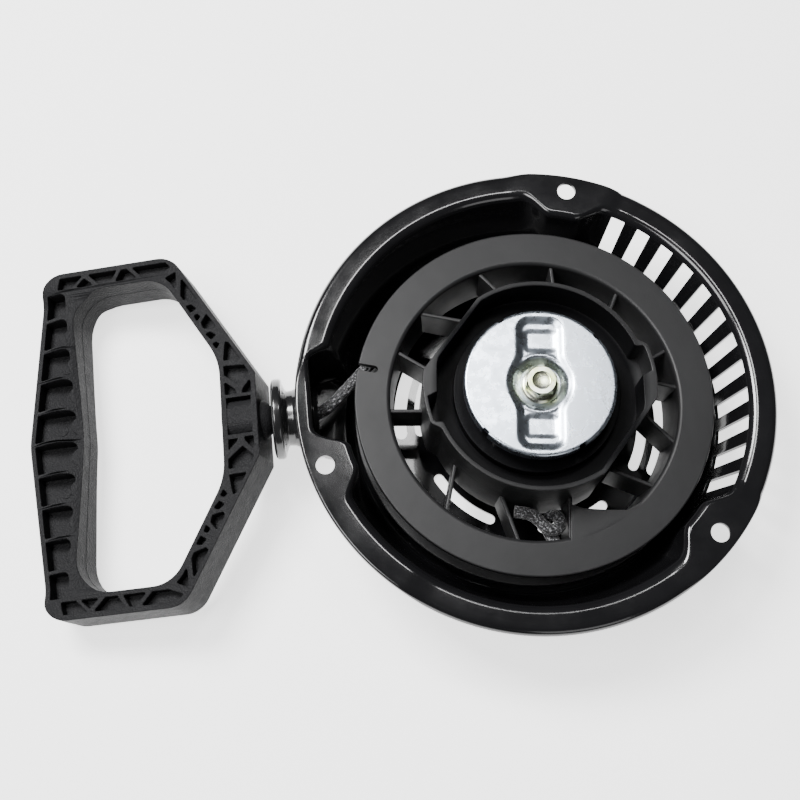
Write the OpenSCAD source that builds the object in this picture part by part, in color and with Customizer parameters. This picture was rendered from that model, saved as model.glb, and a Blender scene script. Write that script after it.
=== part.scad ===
// Recoil starter for a small four-stroke engine.
// Origin: crank axis where it meets the mounting face. +Z points to the engine, the rope pulls along -X.

/* [Housing] */
// Outer diameter of the mounting flange
flange_d = 176; // [174:0.5:180]
// Depth of the bowl behind the mounting face
bowl_depth = 45; // [44:0.5:48]
// Thickness of the steel sheet
sheet = 1.5; // [1.2:0.1:1.8]
// Inner radius of the bowl wall under the flange
wall_top_r = 77.3; // [76.5:0.1:78]
// Inner radius of the bowl wall at its foot
wall_foot_r = 69.6; // [69:0.1:70.5]
// Radius of the circle through the mounting holes
hole_circle_r = 81.5; // [81:0.1:82]
// Radius of each mounting hole
hole_r = 3.4; // [3.2:0.1:3.6]
// Number of air slots in the bowl wall
slot_count = 12; // [6:1:12]
// Angle between two air slots
slot_pitch = 8; // [7.5:0.1:8]
// Width of each air slot
slot_w = 5.4; // [4:0.1:6]

/* [Pulley] */
// Outer radius of the pulley flanges
pulley_r = 66.5; // [65:0.1:67]
// Outer radius of the rope drum
drum_r = 54.5; // [54:0.1:55]
// Height of the front flange face
pulley_face_z = -8.5; // [-9:0.1:-8.5]
// Width of the rope groove
groove_w = 15; // [14.8:0.1:15.4]
// Radius of the hub barrel
hub_r = 39.3; // [39:0.1:39.6]
// Height of the hub rim
hub_top_z = 8.5; // [8:0.1:9]
// Radius of the bearing on the centre post
journal_r = 7.5; // [7:0.1:8]
// Radial clearance of the running fits
running_gap = 0.05; // [0.02:0.01:0.1]

/* [Ratchet] */
// Radius of the retainer plate
plate_r = 27.5; // [27:0.1:28]
// Height of the retainer plate's upper face
plate_z = 9.5; // [9.2:0.1:9.8]
// Distance from the crank axis to each pawl pivot
pawl_pivot_x = 17; // [16.8:0.1:17.2]
// Length of a pawl from its pivot to its tip
pawl_len = 19.5; // [19:0.1:20]

/* [Rope] */
// Diameter of the braided rope
rope_d = 4.6; // [4.4:0.1:4.7]

/* [Handle] */
// Angle by which the handle hangs below the pull line at rest
droop = 10.9; // [9:0.1:10.9]
// Thickness of the handle
grip_t = 20; // [18:0.5:20]
// Half width of the handle
grip_half_w = 67.5; // [66:0.5:68]
// Depth of the moulded pockets in the grip bar, on each face
grip_pocket_depth = 8.3; // [5:0.1:8.5]
// Depth of the moulded pockets in the arms, on each face
arm_pocket_depth = 5; // [4:0.1:7]

/* [Hidden] */
$fn = 96;

flange_r = flange_d / 2;
floor_z = sheet - bowl_depth;          // inner face of the closed end
hole_angles = [75, 195, 315];          // mounting holes, from +X
pad_drop = 0.8;                        // the flange between the pads lies this far below the mounting face
boss_r = 9.5;                          // scallop in the wall around each mounting hole
slot_mid_angle = 15;                   // middle of the row of air slots
slot_top_z = -3;
slot_foot_z = -28;
post_pad_z = -36;                      // raised centre of the closed end
louvre_centre = [3, 2.3];              // the closed end's air slots lie a little off the crank axis

groove_top_z = pulley_face_z - 3;
groove_foot_z = groove_top_z - groove_w;
pulley_foot_z = groove_foot_z - 2.5;
hub_foot_z = -29;
rope_r = rope_d / 2;
coil_r = drum_r + rope_r + 0.05;       // centre line of the rope on the drum
coil_pitch = rope_d + 0.15;
pull_z = (groove_top_z + groove_foot_z) / 2;
pull_y = 3;                            // the pull line lies beside the crank axis
mouth_x = -80.5;                       // where the rope bends into the guide
guide_wall_x = -82;                    // inner face of the flat wall that carries the guide
guide_end_x = -97;
pivot = [-105, pull_y, pull_z];        // centre of the ball end of the handle
ball_r = 9;
bore_r = journal_r + running_gap;

// A ring with square edges between two heights.
module tube(r_out, r_in, z0, z1) {
    translate([0, 0, z0]) difference() {
        cylinder(r = r_out, h = z1 - z0);
        translate([0, 0, -1]) cylinder(r = r_in, h = z1 - z0 + 2);
    }
}

// A pie slice from angle a0 to a1, out to radius r.
module slice(a0, a1, r) {
    am = (a0 + a1) / 2;
    polygon([[0, 0], [r * cos(a0), r * sin(a0)], [1.3 * r * cos(am), 1.3 * r * sin(am)],
             [r * cos(a1), r * sin(a1)]]);
}

// A slot along an arc, with round ends, cut from height z0 to z1.
module arc_slot(r, w, a0, a1, z0, z1) {
    translate([0, 0, z0]) linear_extrude(z1 - z0) polygon(concat(
        arc_points(0, 0, r - w / 2, a0, a1, 8),
        arc_points(r * cos(a1), r * sin(a1), w / 2, a1 + 150, a1 + 30, 4),
        arc_points(0, 0, r + w / 2, a1, a0, 8),
        arc_points(r * cos(a0), r * sin(a0), w / 2, a0 - 30, a0 - 150, 4)));
}

// Points along an arc about (cx, cy), in n steps from angle a0 to a1.
function arc_points(cx, cy, r, a0, a1, n) =
    [for (i = [0:n]) let (a = a0 + (a1 - a0) * i / n) [cx + r * cos(a), cy + r * sin(a)]];

// ---- rope as a swept tube ------------------------------------------------------------------
function unit(v) = v / norm(v);
function heading(p, i) =
    i == 0 ? unit(p[1] - p[0]) :
    i == len(p) - 1 ? unit(p[i] - p[i - 1]) : unit(unit(p[i + 1] - p[i]) + unit(p[i] - p[i - 1]));
function ring_points(p, i, r, n) =
    let (t = heading(p, i), side = unit(cross(t, [0, 0, 1])), up = cross(side, t))
    [for (k = [0:n - 1]) p[i] + r * (cos(360 * k / n) * side + sin(360 * k / n) * up)];

// A round tube of radius r along the points of route.
module swept_tube(route, r, n) {
    count = len(route);
    points = [for (i = [0:count - 1]) each ring_points(route, i, r, n)];
    sides = [for (i = [0:count - 2], k = [0:n - 1])
        [i * n + k, i * n + (k + 1) % n, (i + 1) * n + (k + 1) % n, (i + 1) * n + k]];
    first = [[for (k = [0:n - 1]) n - 1 - k]];
    last = [[for (k = [0:n - 1]) (count - 1) * n + k]];
    polyhedron(points = points, faces = concat(sides, first, last), convexity = 6);
}

// ---- housing -------------------------------------------------------------------------------
wall_slope = (wall_top_r - wall_foot_r) / (bowl_depth - sheet - 4);
foot_round = 5;
shoulder = 3.6;

// Half section of the space inside the bowl, or of the bowl's outside when grow is the sheet.
function bowl_section(grow) = concat(
    [[0, post_pad_z - grow], [17 + grow * 0.5, post_pad_z - grow], [24 + grow * 0.5, floor_z - grow]],
    arc_points(wall_foot_r - foot_round, floor_z + foot_round, foot_round + grow, -90, -12, 5),
    arc_points(wall_top_r + shoulder, -pad_drop - shoulder, shoulder - grow, 168, 90, 5),
    [[wall_top_r + shoulder, 3], [0, 3]]);

module bowl_solid(grow) {
    rotate_extrude() polygon(bowl_section(grow));
    // flat-walled bay for the rope guide
    translate([0, 0, floor_z + 8 - grow]) linear_extrude(-floor_z - 8 + grow + 3) guide_bay(grow);
}

// Outline of the bay, with rounded outer corners.
module guide_bay(grow) {
    corner = 5;
    x0 = guide_wall_x - grow;
    y0 = pull_y - 16 - grow;
    y1 = pull_y + 23 + grow;
    translate([x0 + corner, y0]) square([40, y1 - y0]);
    translate([x0, y0 + corner]) square([40, y1 - y0 - 2 * corner]);
    for (y = [y0 + corner, y1 - corner]) translate([x0 + corner, y]) circle(r = corner, $fn = 48);
}

module hole_posts(r, z0, z1) {
    for (a = hole_angles) rotate(a) translate([hole_circle_r, 0, z0]) cylinder(r = r, h = z1 - z0, $fn = 64);
}

// Flat pads of the flange: a short one at each hole, and a long one that runs up to the rope guide.
module pad_outline() {
    intersection() {
        circle(r = flange_r);
        union() {
            for (a = hole_angles) slice(a - 13, a + 13, flange_r);
            slice(171, 232, flange_r);
        }
    }
}

module starter_housing() {
    color("#17171a") difference() {
        union() {
            difference() {
                intersection() {
                    bowl_solid(sheet);
                    translate([0, 0, -bowl_depth - 1])
                        cylinder(r = flange_r - 0.5, h = bowl_depth + 1 - pad_drop - 0.2);
                }
                hole_posts(boss_r, -bowl_depth - 1, -sheet);
            }
            translate([0, 0, -pad_drop - sheet]) rotate_extrude() flange_edge();
            translate([0, 0, -sheet - 0.6]) linear_extrude(sheet + 0.6) pad_outline();
        }
        difference() {
            bowl_solid(0);
            hole_posts(boss_r + sheet, -bowl_depth - 1, 4);
        }
        hole_posts(hole_r, -10, 5);
        // centre hole for the post
        translate([0, 0, -bowl_depth - 1]) cylinder(r = 6, h = 20);
        // hole for the rope guide
        translate([guide_wall_x + 3, pull_y, pull_z]) rotate([0, -90, 0]) cylinder(r = 9, h = 10);
        for (i = [0:slot_count - 1])
            rotate(slot_mid_angle + slot_pitch * (i - (slot_count - 1) / 2))
                translate([60, -slot_w / 2, slot_foot_z]) cube([26, slot_w, slot_top_z - slot_foot_z]);
        // air slots of the closed end: a ring of six and one more outside it at each side
        translate(louvre_centre) {
            for (i = [0:5]) arc_slot(44.2, 4, 209 + 60 * i, 242 + 60 * i, -bowl_depth - 1, floor_z + 1);
            for (turn = [0, 180]) arc_slot(51.7, 4.8, 151 + turn, 182 + turn, -bowl_depth - 1, floor_z + 1);
        }
    }
}

// Rolled outer edge of the flange, as a section from the wall to the rim.
module flange_edge() {
    x0 = wall_top_r + 1;
    x1 = flange_r - sheet;
    polygon(concat([[x0, 0], [x1, 0], [x1, -0.8], [flange_r, -0.8]],
                   arc_points(x1, 0, sheet, 0, 90, 6), [[x0, sheet]]));
}

// ---- centre post and guide -----------------------------------------------------------------
post_shoulder_z = -13.5;
journal_top_z = 2.5;
plate_seat_z = 5.9;                    // underside of the bolt's flange

module centre_post() {
    color("silver") difference() {
        union() {
            translate([0, 0, post_pad_z]) cylinder(r = 11, h = post_shoulder_z - post_pad_z);
            translate([0, 0, post_shoulder_z - 1])
                cylinder(r = journal_r, h = journal_top_z - post_shoulder_z + 1);
            translate([0, 0, journal_top_z - 1]) cylinder(r = 5, h = plate_seat_z - journal_top_z + 1);
            translate([0, 0, post_pad_z - sheet - 0.5]) cylinder(r = 5.95, h = sheet + 1);
            translate([0, 0, post_pad_z - sheet - 2.5]) cylinder(r1 = 7.5, r2 = 9, h = 2.5);
        }
        translate([0, 0, post_shoulder_z - 8]) cylinder(r = 3.05, h = 40);
        // slot for the inner end of the recoil spring
        translate([5, -1.2, hub_foot_z - 1]) cube([8, 2.4, post_shoulder_z - hub_foot_z + 0.6]);
    }
}

// Flanged eyelet that carries the rope through the wall, with a round seat for the handle.
module rope_guide() {
    color("#101012") translate([0, pull_y, pull_z]) rotate([0, -90, 0]) difference() {
        union() {
            // inner collar, sleeve through the wall, outer neck and end flange, measured outwards
            translate([0, 0, -guide_wall_x - 2]) cylinder(r1 = 9.5, r2 = 11, h = 2);
            translate([0, 0, -guide_wall_x - 1]) cylinder(r = 8.9, h = 4);
            translate([0, 0, -guide_wall_x + sheet + 0.05]) cylinder(r1 = 12.5, r2 = 10.5, h = 6);
            translate([0, 0, -guide_wall_x + 7]) cylinder(r = 10.5, h = 5);
            translate([0, 0, -guide_end_x - 4.2]) rotate_extrude() guide_flange();
        }
        translate([0, 0, 70]) cylinder(r = 3.6, h = 40);
        translate([0, 0, -guide_wall_x - 2.01]) cylinder(r1 = 7.5, r2 = 3.6, h = 4);
        translate([0, 0, -pivot.x]) sphere(r = ball_r + 0.35);
    }
}

// Section of the guide's end flange, with round edges.
module guide_flange() {
    square([13, 4.2]);
    translate([13, 2.1]) circle(r = 2.1, $fn = 32);
}

// ---- pulley --------------------------------------------------------------------------------
rib_ends = [[136, 122], [106, 95], [76, 70], [47, 40], [16, 12], [0, 8], [337, 351],
            [317, 310], [277, 283], [257, 244], [227, 214], [180, 182], [155, 160]];
cup_floor_z = -6;
deck_z = -1;
deck_r = 30.5;
chord_r = 36.8;                        // distance of the hub's flat from the axis
chord_angle = 139;
ear_r = 42;
floor_t = 3;
pocket_r = 34.8;

// The half of the plane on the axis side of a line at distance r, square to angle a.
module inside_line(a, r) {
    rotate(a) translate([r - 100, -60]) square([100, 120]);
}

// Outline of the hub: a round barrel with two ears, alike after half a turn.
module hub_outline() {
    for (turn = [0, 180]) rotate(turn) {
        intersection() {
            circle(r = hub_r);
            slice(105, 285, 60);
            inside_line(chord_angle, chord_r);
        }
        intersection() {
            circle(r = ear_r);
            slice(145, 199, 60);
            inside_line(chord_angle, chord_r);
        }
    }
}

// Outline of the space inside the cup, with a thick land and a pocket in each ear.
module cup_outline() {
    for (turn = [0, 180]) rotate(turn) {
        intersection() {
            circle(r = hub_r - 1.8);
            slice(105, 285, 60);
            inside_line(chord_angle, chord_r - 1.8);
            inside_line(174.7, 36.8);
        }
        intersection() {
            circle(r = ear_r - 1.5);
            slice(181, 197, 60);
        }
    }
}

module pulley() {
    color("#26272a") difference() {
        union() {
            // two rope flanges and the drum between them
            tube(pulley_r, drum_r - 2, groove_top_z, pulley_face_z);
            tube(pulley_r, drum_r - 2, pulley_foot_z, groove_foot_z);
            tube(drum_r, drum_r - 2, pulley_foot_z, pulley_face_z);
            for (ends = rib_ends) rib(ends[0], ends[1]);
            // web beside the rope's knot, level with the front flange
            translate([0, 0, pulley_face_z - 2]) linear_extrude(2) intersection() {
                circle(r = drum_r - 1);
                polygon([[8, -41], [12.6, -42.9], [19.5, -44], [28, -44.8],
                         [33.5, -42.4], [45, -60], [5.5, -60]]);
            }
            translate([0, 0, hub_foot_z]) linear_extrude(hub_top_z - hub_foot_z) hub_outline();
        }
        // drive cup, left open in the middle for the pawl deck
        difference() {
            translate([0, 0, cup_floor_z]) linear_extrude(40) cup_outline();
            translate([0, 0, cup_floor_z - 1]) cylinder(r = deck_r, h = deck_z - cup_floor_z + 1);
        }
        difference() {
            translate([0, 0, hub_foot_z - 1])
                cylinder(r = pocket_r, h = cup_floor_z - floor_t - hub_foot_z + 1);
            translate([0, 0, post_shoulder_z + 1.1]) cylinder(r = 12, h = 20);
        }
        translate([0, 0, -40]) cylinder(r = bore_r, h = 60);
        // slot that holds the outer end of the recoil spring
        rotate(250) translate([pocket_r - 1, -1.2, hub_foot_z - 1]) cube([3.2, 2.4, 16]);
        // notch for parking the rope
        rotate(164.5) translate([0, 0, groove_top_z - 1]) linear_extrude(5) {
            translate([60.2, -1.35]) square([10, 2.7]);
            translate([60.2, 0]) circle(r = 1.35, $fn = 32);
        }
        // hole for the rope through the drum
        rotate(knot_angle) translate([drum_r - 5, 0, knot_z]) rotate([0, 90, 0])
            cylinder(r = rope_r + 0.3, h = 10, $fn = 48);
    }
    // pins that the pawls turn on
    color("#26272a") for (turn = [0, 180]) rotate(turn)
        translate([pawl_pivot_x, 0, deck_z - 0.5]) cylinder(r = pawl_pin_r, h = 7, $fn = 48);
}

// A thin wall from the drum, at angle a_out, to the hub, at angle a_in.
module rib(a_out, a_in) {
    outer = (drum_r - 1) * [cos(a_out), sin(a_out)];
    inner = (hub_r - 1.8) * [cos(a_in), sin(a_in)];
    run = outer - inner;
    translate([inner.x, inner.y, groove_foot_z]) rotate(atan2(run.y, run.x))
        translate([0, -0.8, 0]) cube([norm(run), 1.6, groove_top_z + 1.5 - groove_foot_z]);
}

// ---- springs and washers -------------------------------------------------------------------
spring_turns = 9;
spring_t = 0.8;
spring_inner_r = 12.2;
spring_outer_r = 33.2;
spring_steps = 20;                     // straight pieces in each turn
spring_z = [-28.5, -14.5];

function spiral_point(i, side) =
    let (u = i / (spring_turns * spring_steps), a = 250 - 360 * spring_turns * (1 - u),
         r = spring_inner_r + (spring_outer_r - spring_inner_r) * u + side * spring_t / 2)
    [r * cos(a), r * sin(a)];

module recoil_spring() {
    last = spring_turns * spring_steps;
    color("#6f747a") translate([0, 0, spring_z[0]]) linear_extrude(spring_z[1] - spring_z[0]) {
        polygon(concat([for (i = [0:last]) spiral_point(i, 1)], [for (i = [last:-1:0]) spiral_point(i, -1)]));
        // outer end in the pulley's slot, inner end in the post's slot
        rotate(250) translate([spring_outer_r - 0.4, -0.4]) square([3.2, 0.8]);
        rotate(250) translate([spring_inner_r - 0.4, -0.4]) square([0.8, 0.8]);
        intersection() {
            difference() {
                circle(r = spring_inner_r + 0.4);
                circle(r = spring_inner_r - 0.4);
            }
            slice(249, 361, 60);
        }
        translate([7, -0.4]) square([spring_inner_r - 7, 0.8]);
    }
}

module rear_thrust_washer() {
    color("silver") tube(10.8, journal_r + 0.1, post_shoulder_z, post_shoulder_z + 1);
}

module front_thrust_washer() {
    color("silver") tube(11, journal_r + 0.1, deck_z + 0.05, deck_z + 1);
}

// Closed-ended compression spring: turns of round wire between two heights.
module coil_spring(mean_r, wire_r, z0, z1, turns) {
    per_turn = 20;
    low = z0 + wire_r;
    rise = z1 - z0 - 2 * wire_r;
    swept_tube([for (i = [0:turns * per_turn]) let (a = 360 * i / per_turn)
        [mean_r * cos(a), mean_r * sin(a), low + rise * i / (turns * per_turn)]], wire_r, 8);
}

module friction_spring() {
    color("#8f959b") coil_spring(9.2, 0.5, deck_z + 1.05, 3.95, 2);
}

// ---- pawls ---------------------------------------------------------------------------------
pawl_pin_r = 2.5;
pawl_z = [deck_z + 0.1, deck_z + 4.6];

// Pawl with its pivot at the origin and its arm along +Y.
module pawl_shape() {
    difference() {
        union() {
            circle(r = 4.6);
            polygon([[-3.4, 0], [4.4, 0], [3.2, pawl_len - 8], [1.2, pawl_len], [-3.6, pawl_len],
                     [-3.9, pawl_len - 4], [-2.6, pawl_len - 9]]);
        }
        circle(r = pawl_pin_r + running_gap);
    }
}

module pawl(turn) {
    color("#b9bcc0") rotate(turn) translate([pawl_pivot_x, 0, pawl_z[0]])
        linear_extrude(pawl_z[1] - pawl_z[0]) pawl_shape();
}

module pawl_a() pawl(0);
module pawl_b() pawl(180);

// Torsion spring on a pawl's pin, over the pawl, with one leg each way.
module pawl_spring(turn) {
    color("#8f959b") rotate(turn) translate([pawl_pivot_x, 0, pawl_z[1] + 0.1])
        swept_tube(concat([[-3.4, -6.6, 0.4], [-2.2, -4, 0.4]],
            [for (i = [0:24]) let (a = -90 + 30 * i) [3.1 * cos(a), 3.1 * sin(a), 0.4 + 0.7 * i / 12]],
            [[4.5, -2, 1.8], [4.8, 3, 1.8]]), 0.3, 6);
}

module pawl_spring_a() pawl_spring(0);
module pawl_spring_b() pawl_spring(180);

// ---- retainer plate and bolt ---------------------------------------------------------------
plate_t = 1.5;
dish_r = 10.5;
lobe_w = 15.2;
lobe_end = 24.6;
channel_turn = -6;                     // the channel stands a little off the line of the pawls
lug_angle = 62;                        // cam lugs that push the pawls out, before the plate turns back

// Outline of the pressed channel that runs across the plate through the centre dish.
module lobe_outline(shrink) {
    square([lobe_w - 2 * shrink, 2 * lobe_end - 6 - 2 * shrink], center = true);
    square([lobe_w - 6 - 2 * shrink, 2 * lobe_end - 2 * shrink], center = true);
    for (x = [-1, 1], y = [-1, 1])
        translate([x * (lobe_w / 2 - 3 - shrink), y * (lobe_end - 3 - shrink)]) circle(r = 3, $fn = 32);
}

module retainer_plate() {
    color("#c9cdd2") difference() {
        union() {
            translate([0, 0, plate_z - plate_t]) cylinder(r = plate_r, h = plate_t);
            tube(plate_r, plate_r - plate_t, plate_z - 4, plate_z - 0.5);
            translate([0, 0, plate_z - plate_t - 1]) linear_extrude(1.5) rotate(channel_turn) lobe_outline(0);
            translate([0, 0, plate_z - 5.5]) cylinder(r = dish_r + plate_t, h = 4.5);
            // stepped windows of the channel
            rotate(channel_turn) for (y = [-17.5, 17.5])
                translate([-5.5, y - 4, plate_z - plate_t - 2]) cube([11, 8, 2]);
            for (turn = [0, 180]) rotate(turn + lug_angle)
                translate([15.2, -1.2, deck_z + 1]) cube([2.4, 2.4, plate_z - 2 - deck_z]);
        }
        translate([0, 0, plate_z - 1]) linear_extrude(3) rotate(channel_turn) lobe_outline(plate_t);
        translate([0, 0, plate_z - 4]) cylinder(r = dish_r, h = 8);
        rotate(channel_turn) for (y = [-17.5, 17.5]) translate([-4, y - 2.5, plate_z - 2]) cube([8, 5, 6]);
        translate([0, 0, -5]) cylinder(r = 5.6, h = 20);
        for (a = [115, 35, 217, 296]) rotate(a) translate([plate_r - 0.9, -1.5, plate_z - 6]) cube([3, 3, 8]);
    }
}

// Flanged hex bolt, screwed into the post.
module centre_bolt() {
    color("#c8c9a0") {
        difference() {
            union() {
                translate([0, 0, plate_seat_z]) cylinder(r1 = 7.2, r2 = 6.6, h = 1.4);
                translate([0, 0, plate_seat_z + 1]) cylinder(r = 10 / sqrt(3), h = 5, $fn = 6);
            }
            translate([0, 0, plate_seat_z + 5.6]) cylinder(r = 3.6, h = 2);
        }
        translate([0, 0, post_shoulder_z - 5]) cylinder(r = 2.95, h = plate_seat_z - post_shoulder_z + 5.5);
    }
}

// ---- rope ----------------------------------------------------------------------------------
knot_z = -15.5;
knot_angle = 271.8;                    // where the rope passes through the drum
lead_angle = 133.1;                    // where the rope leaves the drum
lead_start = [coil_r * cos(lead_angle), coil_r * sin(lead_angle), pull_z];
// The rope bends from the straight run into the pull line over a few points.
lead_route = concat(
    [lead_start, [-46, 34.4, pull_z], [-54, 26.8, pull_z], [-62, 19.1, pull_z], [-69, 12.4, pull_z]],
    [[-74, 7.8, pull_z], [-77.5, 5.2, pull_z], [-81, 3.6, pull_z], [-85, 3, pull_z]],
    [[-90, 3, pull_z], [-95.5, 3, pull_z]]);

module drum_rope() {
    color("#1b1b1d") {
        for (row = [-1, 1]) translate([0, 0, pull_z + row * coil_pitch])
            rotate_extrude() translate([coil_r, 0]) circle(r = rope_r, $fn = 24);
        // the middle turn ends where the rope leaves the drum
        translate([0, 0, pull_z]) rotate(lead_angle + 27)
            rotate_extrude(angle = 332.6) translate([coil_r, 0]) circle(r = rope_r, $fn = 24);
    }
}

module rope_lead() {
    color("#1b1b1d") swept_tube(lead_route, rope_r, 8);
}

// Knot inside the drum, on the rope's end just past the rope hole.
module drum_knot() {
    color("#1b1b1d") rotate(knot_angle) translate([drum_r - 7.5, 0, knot_z]) {
        sphere(r = 4.4, $fn = 32);
        rotate([0, 90, 0]) cylinder(r = rope_r, h = 7.5, $fn = 24);
    }
}

// Places its children in the handle's own frame: pivot at the origin, grip towards -X.
module handle_frame() {
    translate(pivot) rotate([0, -droop, 0]) children();
}

knot_x = -5;
stem_end_x = -11;

module handle_rope() {
    color("#1b1b1d") handle_frame() translate([knot_x + 4, 0, 0]) rotate([0, 90, 0])
        cylinder(r = rope_r, h = 5 - knot_x, $fn = 32);
}

module handle_knot() {
    color("#1b1b1d") handle_frame() translate([knot_x - 0.3, 0, 0]) sphere(r = 4.2, $fn = 32);
}

module knot_washer() {
    color("silver") handle_frame() translate([knot_x + 4.1, 0, 0]) rotate([0, 90, 0])
        tube(4.9, rope_r + 0.2, 0, 1);
}

// ---- handle --------------------------------------------------------------------------------
wall_t = 2;                            // moulded outer walls of the handle
vertex_x = -85;                        // outer edge of the grip bar in the middle
corner_x = -78;                        // outer edge of the grip bar at its ends
arm_x = -25.8;                         // where the straight sides meet the slanted arms
neck_x = 4.8;
neck_half_w = 16;
slot_half_w = 59;                      // half width of the finger opening
grip_inner_x = -63.4;
rib_pitch = 12.3;

// Points of a closed outline whose corner i is rounded to radius r[i].
function rounded(p, r, n) = [for (i = [0:len(p) - 1])
    let (ua = unit(p[(i + len(p) - 1) % len(p)] - p[i]), ub = unit(p[(i + 1) % len(p)] - p[i]),
         half = acos(ua * ub) / 2, c = p[i] + unit(ua + ub) * (r[i] / sin(half)),
         t = p[i] + ua * (r[i] / tan(half)) - c, s = p[i] + ub * (r[i] / tan(half)) - c,
         a = atan2(t.y, t.x), turn = atan2(t.x * s.y - t.y * s.x, t * s))
    each r[i] == 0 ? [p[i]] : [for (k = [0:n]) c + r[i] * [cos(a + turn * k / n), sin(a + turn * k / n)]]];

module outer_outline() {
    polygon(rounded([[vertex_x, 0], [corner_x, grip_half_w], [arm_x, grip_half_w], [neck_x, neck_half_w],
                     [neck_x, -neck_half_w], [arm_x, -grip_half_w], [corner_x, -grip_half_w]],
                    [0, 9, 10, 2, 2, 10, 9], 6));
}

// Finger opening.
module opening_outline() {
    polygon(rounded([[grip_inner_x, 0], [grip_inner_x - 3.4, slot_half_w], [-29.8, slot_half_w], [-8.8, 22.8],
                     [-8.8, -22.8], [-29.8, -slot_half_w], [grip_inner_x - 3.4, -slot_half_w]],
                    [0, 13, 13, 24, 24, 13, 13], 6));
}

// One row of moulded pockets in the grip bar, between cross ribs.
module grip_pockets() {
    for (i = [-5:4]) {
        y0 = i * rib_pitch + (i == -5 ? 2.2 : 0.7);
        y1 = (i + 1) * rib_pitch - (i == 4 ? 2.2 : 0.7);
        x0 = grip_wall_x(y0);
        x1 = grip_wall_x(y1);
        polygon([[x0, y0], [x1, y1], [grip_inner_edge(y1), y1], [grip_inner_edge(y0), y0]]);
    }
}

// Inner faces of the grip bar's two walls at distance y from its middle.
function grip_wall_x(y) = vertex_x + wall_t + 0.2 + abs(y) * (corner_x - vertex_x) / grip_half_w;
function grip_inner_edge(y) = grip_inner_x - wall_t - 0.2 - abs(y) * 3.4 / slot_half_w;

// Pockets between the zigzag ribs of one arm.
ARM_POCKETS = [
    [[-72, 60.8], [-66.2, 60.8], [-61.6, 65.4], [-71, 65.4]],
    [[-64.6, 60.8], [-57.4, 60.8], [-61, 64.2]],
    [[-59.6, 65.4], [-55, 60.8], [-50.4, 60.8], [-47.6, 65.4]],
    [[-48.4, 60.8], [-39.6, 60.8], [-43.6, 65.2], [-46, 65.2]],
    [[-41.6, 65.4], [-37.4, 60.8], [-31.4, 60.8], [-26, 63], [-28, 65.4]],
    [[-28.4, 58.8], [-24, 60.8], [-24.2, 53.4], [-26, 56.4]],
    [[-22, 58], [-16, 48.4], [-17, 47.4], [-21.4, 48.8], [-22.4, 50.6]],
    [[-20.6, 46], [-18.4, 46.3], [-16.4, 44.4], [-18.8, 43]],
    [[-17.6, 41.6], [-16.1, 42.2], [-14.9, 40.9], [-16.5, 39.2]],
    [[-12.6, 41.6], [-9.4, 36.6], [-9.9, 35.2], [-14, 36], [-14.9, 38.4]],
    [[-13.4, 33.6], [-11.4, 34.2], [-9.2, 32.6], [-11.2, 31]],
    [[-10.8, 29.2], [-9.3, 29.9], [-8, 28.9], [-9.4, 27]],
    [[-6, 29.4], [-4.7, 29], [-0.4, 21.8], [-7, 22]],
    // around the stem, between its Y-shaped ribs
    [[-7, 19.8], [0.8, 19.2], [2.6, 16], [-1.4, 11.8], [-7, 16.2]],
    [[-7, 13.6], [-3, 10], [-2.6, 8.4], [-7, 8.4]],
    [[2.9, 13.6], [2.9, 8.4], [-0.6, 8.4], [-0.2, 10]]];

module arm_pockets() {
    for (s = [0, 1]) mirror([0, s, 0]) for (corners = ARM_POCKETS) polygon(corners);
}

// A pocket of the given depth in each face.
module pocket_pair(depth) {
    for (z = [-grip_t / 2 - 1, grip_t / 2 - depth]) translate([0, 0, z]) linear_extrude(depth + 1) children();
}

module handle_grip() {
    color("#202124") handle_frame() difference() {
        union() {
            difference() {
                translate([0, 0, -grip_t / 2]) linear_extrude(grip_t) outer_outline();
                translate([0, 0, -grip_t / 2 - 1]) linear_extrude(grip_t + 2) opening_outline();
                pocket_pair(grip_pocket_depth) grip_pockets();
                pocket_pair(arm_pocket_depth) arm_pockets();
                pocket_pair(grip_pocket_depth) translate([-7, -7.4]) square([10, 14.8]);
            }
            rotate([0, 90, 0]) rotate_extrude() polygon(concat([[0, -9.4], [6.9, -9.4], [6.9, 5.2]],
                [for (a = [38, 51, 64, 77, 90]) ball_r * [cos(a), sin(a)]]));
        }
        // passage for the rope, opened out for its knot
        translate([knot_x + 3, 0, 0]) rotate([0, 90, 0]) cylinder(r = rope_r + 0.3, h = 30);
        translate([stem_end_x - 2, 0, 0]) rotate([0, 90, 0])
            cylinder(r = 5, h = knot_x + 5.2 - stem_end_x + 2);
    }
}

starter_housing();
centre_post();
rope_guide();
pulley();
recoil_spring();
rear_thrust_washer();
front_thrust_washer();
pawl_a();
pawl_b();
pawl_spring_a();
pawl_spring_b();
friction_spring();
retainer_plate();
centre_bolt();
drum_rope();
drum_knot();
rope_lead();
handle_rope();
handle_knot();
knot_washer();
handle_grip();
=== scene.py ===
"""Looks of the recoil starter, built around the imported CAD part. Shapes are written in millimetres."""
import math

import bmesh
import bpy
from mathutils import Matrix, Vector


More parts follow.
